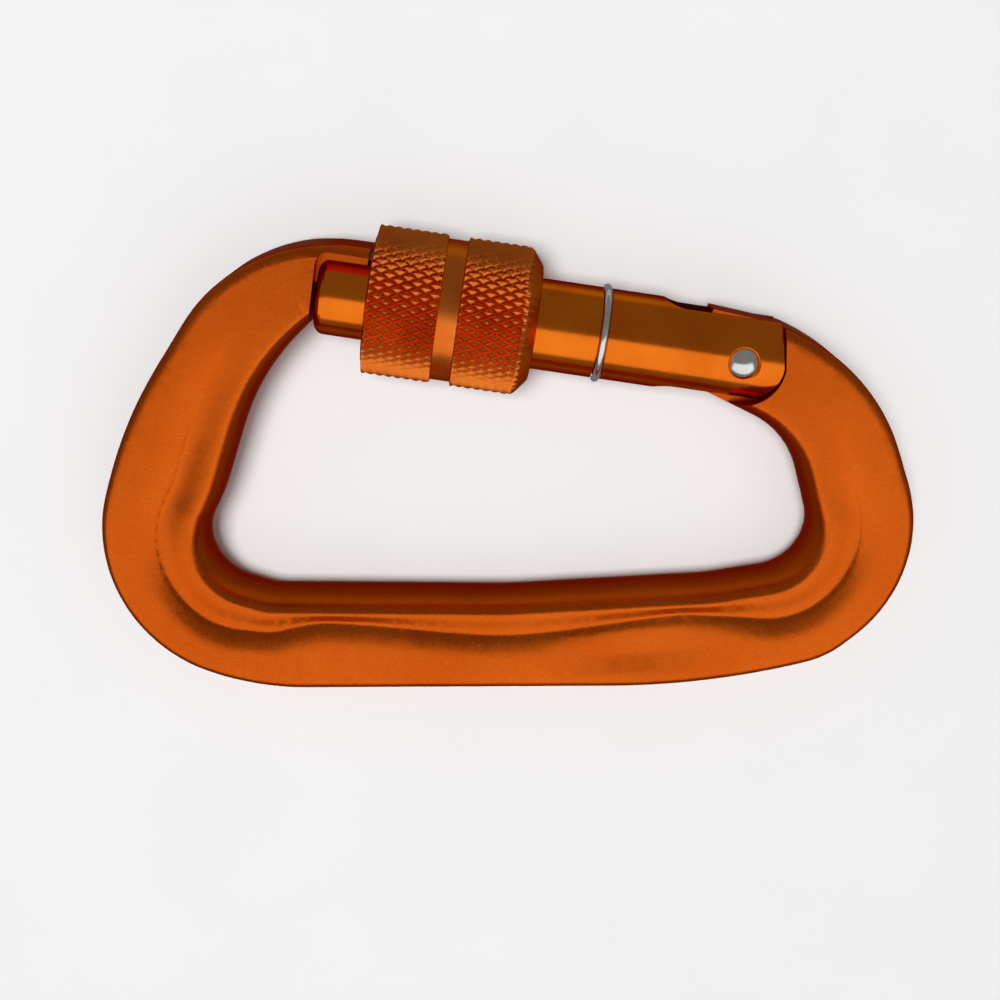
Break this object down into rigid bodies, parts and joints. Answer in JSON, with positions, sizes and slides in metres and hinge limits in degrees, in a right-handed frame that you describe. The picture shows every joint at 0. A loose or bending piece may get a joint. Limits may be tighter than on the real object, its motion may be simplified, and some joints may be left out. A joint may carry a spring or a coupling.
{
  "type": "locking carabiner",
  "caption": "Small D-shaped screw-lock carabiner: grooved forged body, sprung gate on a rivet, knurled screw sleeve and a stop ring.",
  "frame": {"origin": "centre of the closed carabiner's bounding box, on the body's middle plane", "axes": "+X along the spine from the wide end to the hinge end, +Y from the spine to the gate, +Z through the thickness, towards the viewer"},
  "size_m": [0.0793, 0.0456, 0.0144],
  "materials": {
    "body_anodised": "satin orange anodised",
    "gate_anodised": "bright orange anodised",
    "polished_steel": "polished steel",
    "drawn_steel": "drawn wire and turned steel"
  },
  "bodies": {
    "frame": {"frame": "body_anodised"},
    "gate": {"gate_barrel": "gate_anodised", "hinge_rivet": "polished_steel", "gate_spring": "drawn_steel"},
    "plunger": {"spring_plunger": "drawn_steel"},
    "ring": {"stop_ring": "polished_steel"},
    "sleeve": {"lock_sleeve": "gate_anodised"}
  },
  "joints": [
    {"name": "gate_hinge", "type": "hinge", "parent": "frame", "child": "gate", "pos_m": [0.0224, 0.0102, 0], "axis": [0, 0, 1], "range_deg": [0, 25], "stiffness_Nm_per_rad": 0.28, "springref_deg": -17.19},
    {"name": "plunger_slide", "type": "slide", "parent": "gate", "child": "plunger", "axis": [0.989, -0.1479, 0], "range_m": [-0.00101, 0], "deforming": ["gate_spring"]},
    {"name": "ring_turn", "type": "hinge", "parent": "gate", "child": "ring", "pos_m": [0.00905, 0.0125, 0], "axis": [0.989, -0.1479, 0], "range_deg": [-774.02, 1080.02]},
    {"name": "sleeve_slide", "type": "slide", "parent": "ring", "child": "sleeve", "axis": [0.989, -0.1479, 0], "range_m": [-0.0043, 0.006]}
  ],
  "couplings": [
    {"joint": "plunger_slide", "follows": "gate_hinge", "m_per_rad": -0.0023},
    {"joint": "ring_turn", "follows": "sleeve_slide", "rad_per_m": 3141.6}
  ]
}
